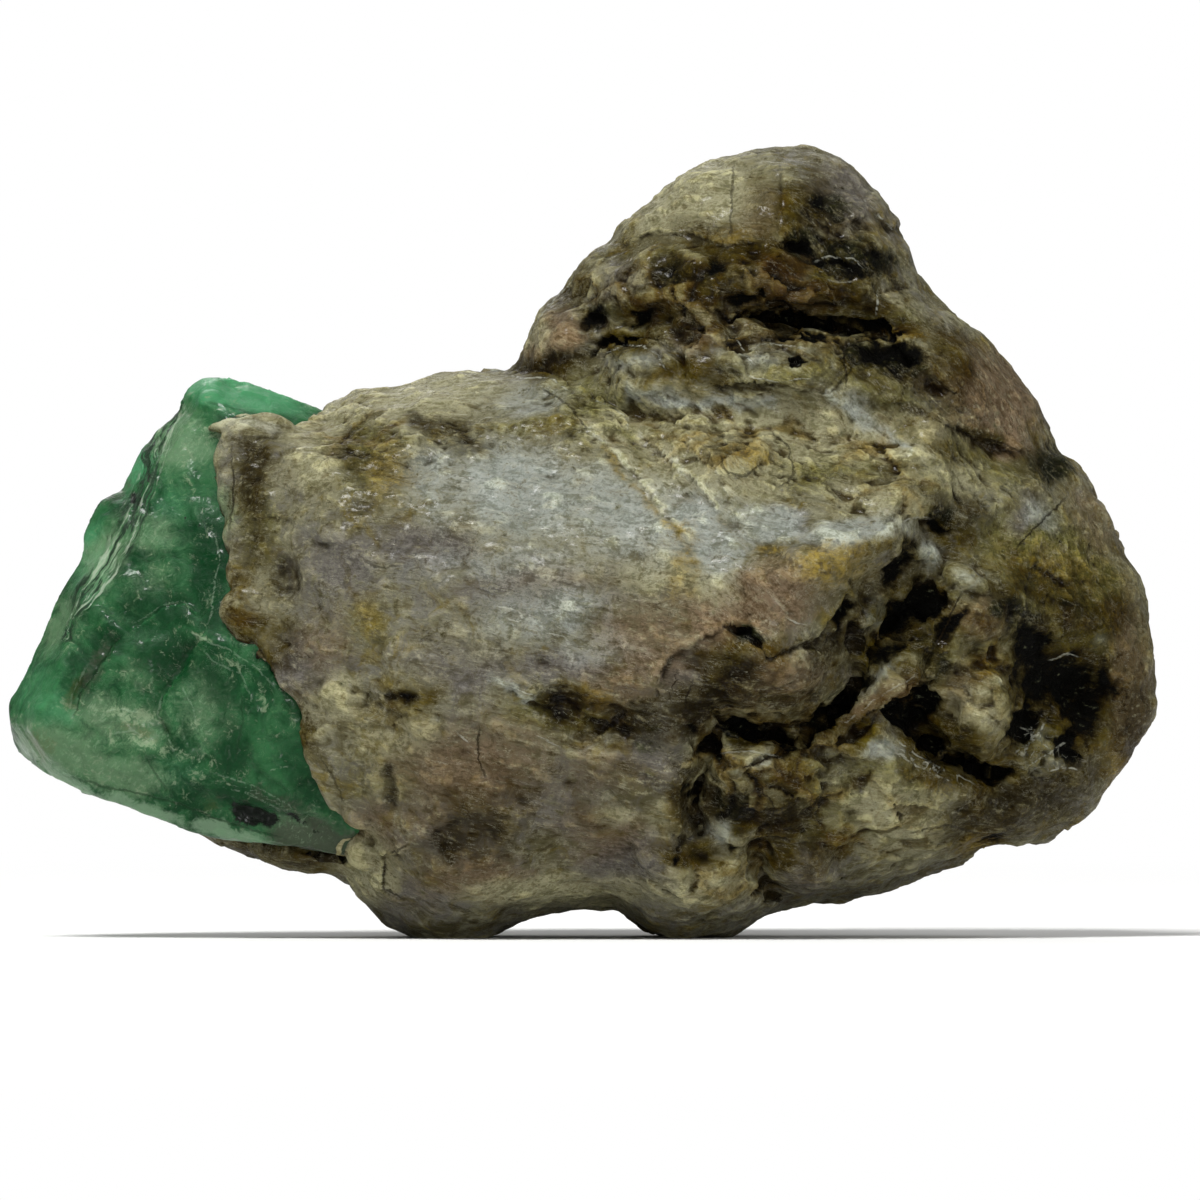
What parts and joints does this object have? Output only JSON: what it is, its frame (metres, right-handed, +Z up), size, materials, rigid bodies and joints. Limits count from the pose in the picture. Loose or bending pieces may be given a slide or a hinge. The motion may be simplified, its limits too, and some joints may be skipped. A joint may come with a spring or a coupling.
{
  "type": "raw emerald in matrix",
  "caption": "Irregular worn lump of mottled mica-rich rock with a blocky green crystal set in its left end, standing on low worn lobes.",
  "frame": {"origin": "below the middle of the specimen's box, on the plane it stands on", "axes": "+X from the emerald end to the rock's blunt end, +Y from the front with the exposed crystal face to the back, +Z up through the hump"},
  "size_m": [0.0574, 0.0278, 0.0394],
  "materials": {
    "mica_rock": "worn mica-rich stone, mottled buff, olive and grey with black mica patches, low sheen with small glints",
    "emerald": "cloudy green beryl, wet gloss, translucent only at its thin edges"
  },
  "bodies": {
    "root": {"matrix": "mica_rock", "emerald_crystal": "emerald"}
  },
  "joints": []
}
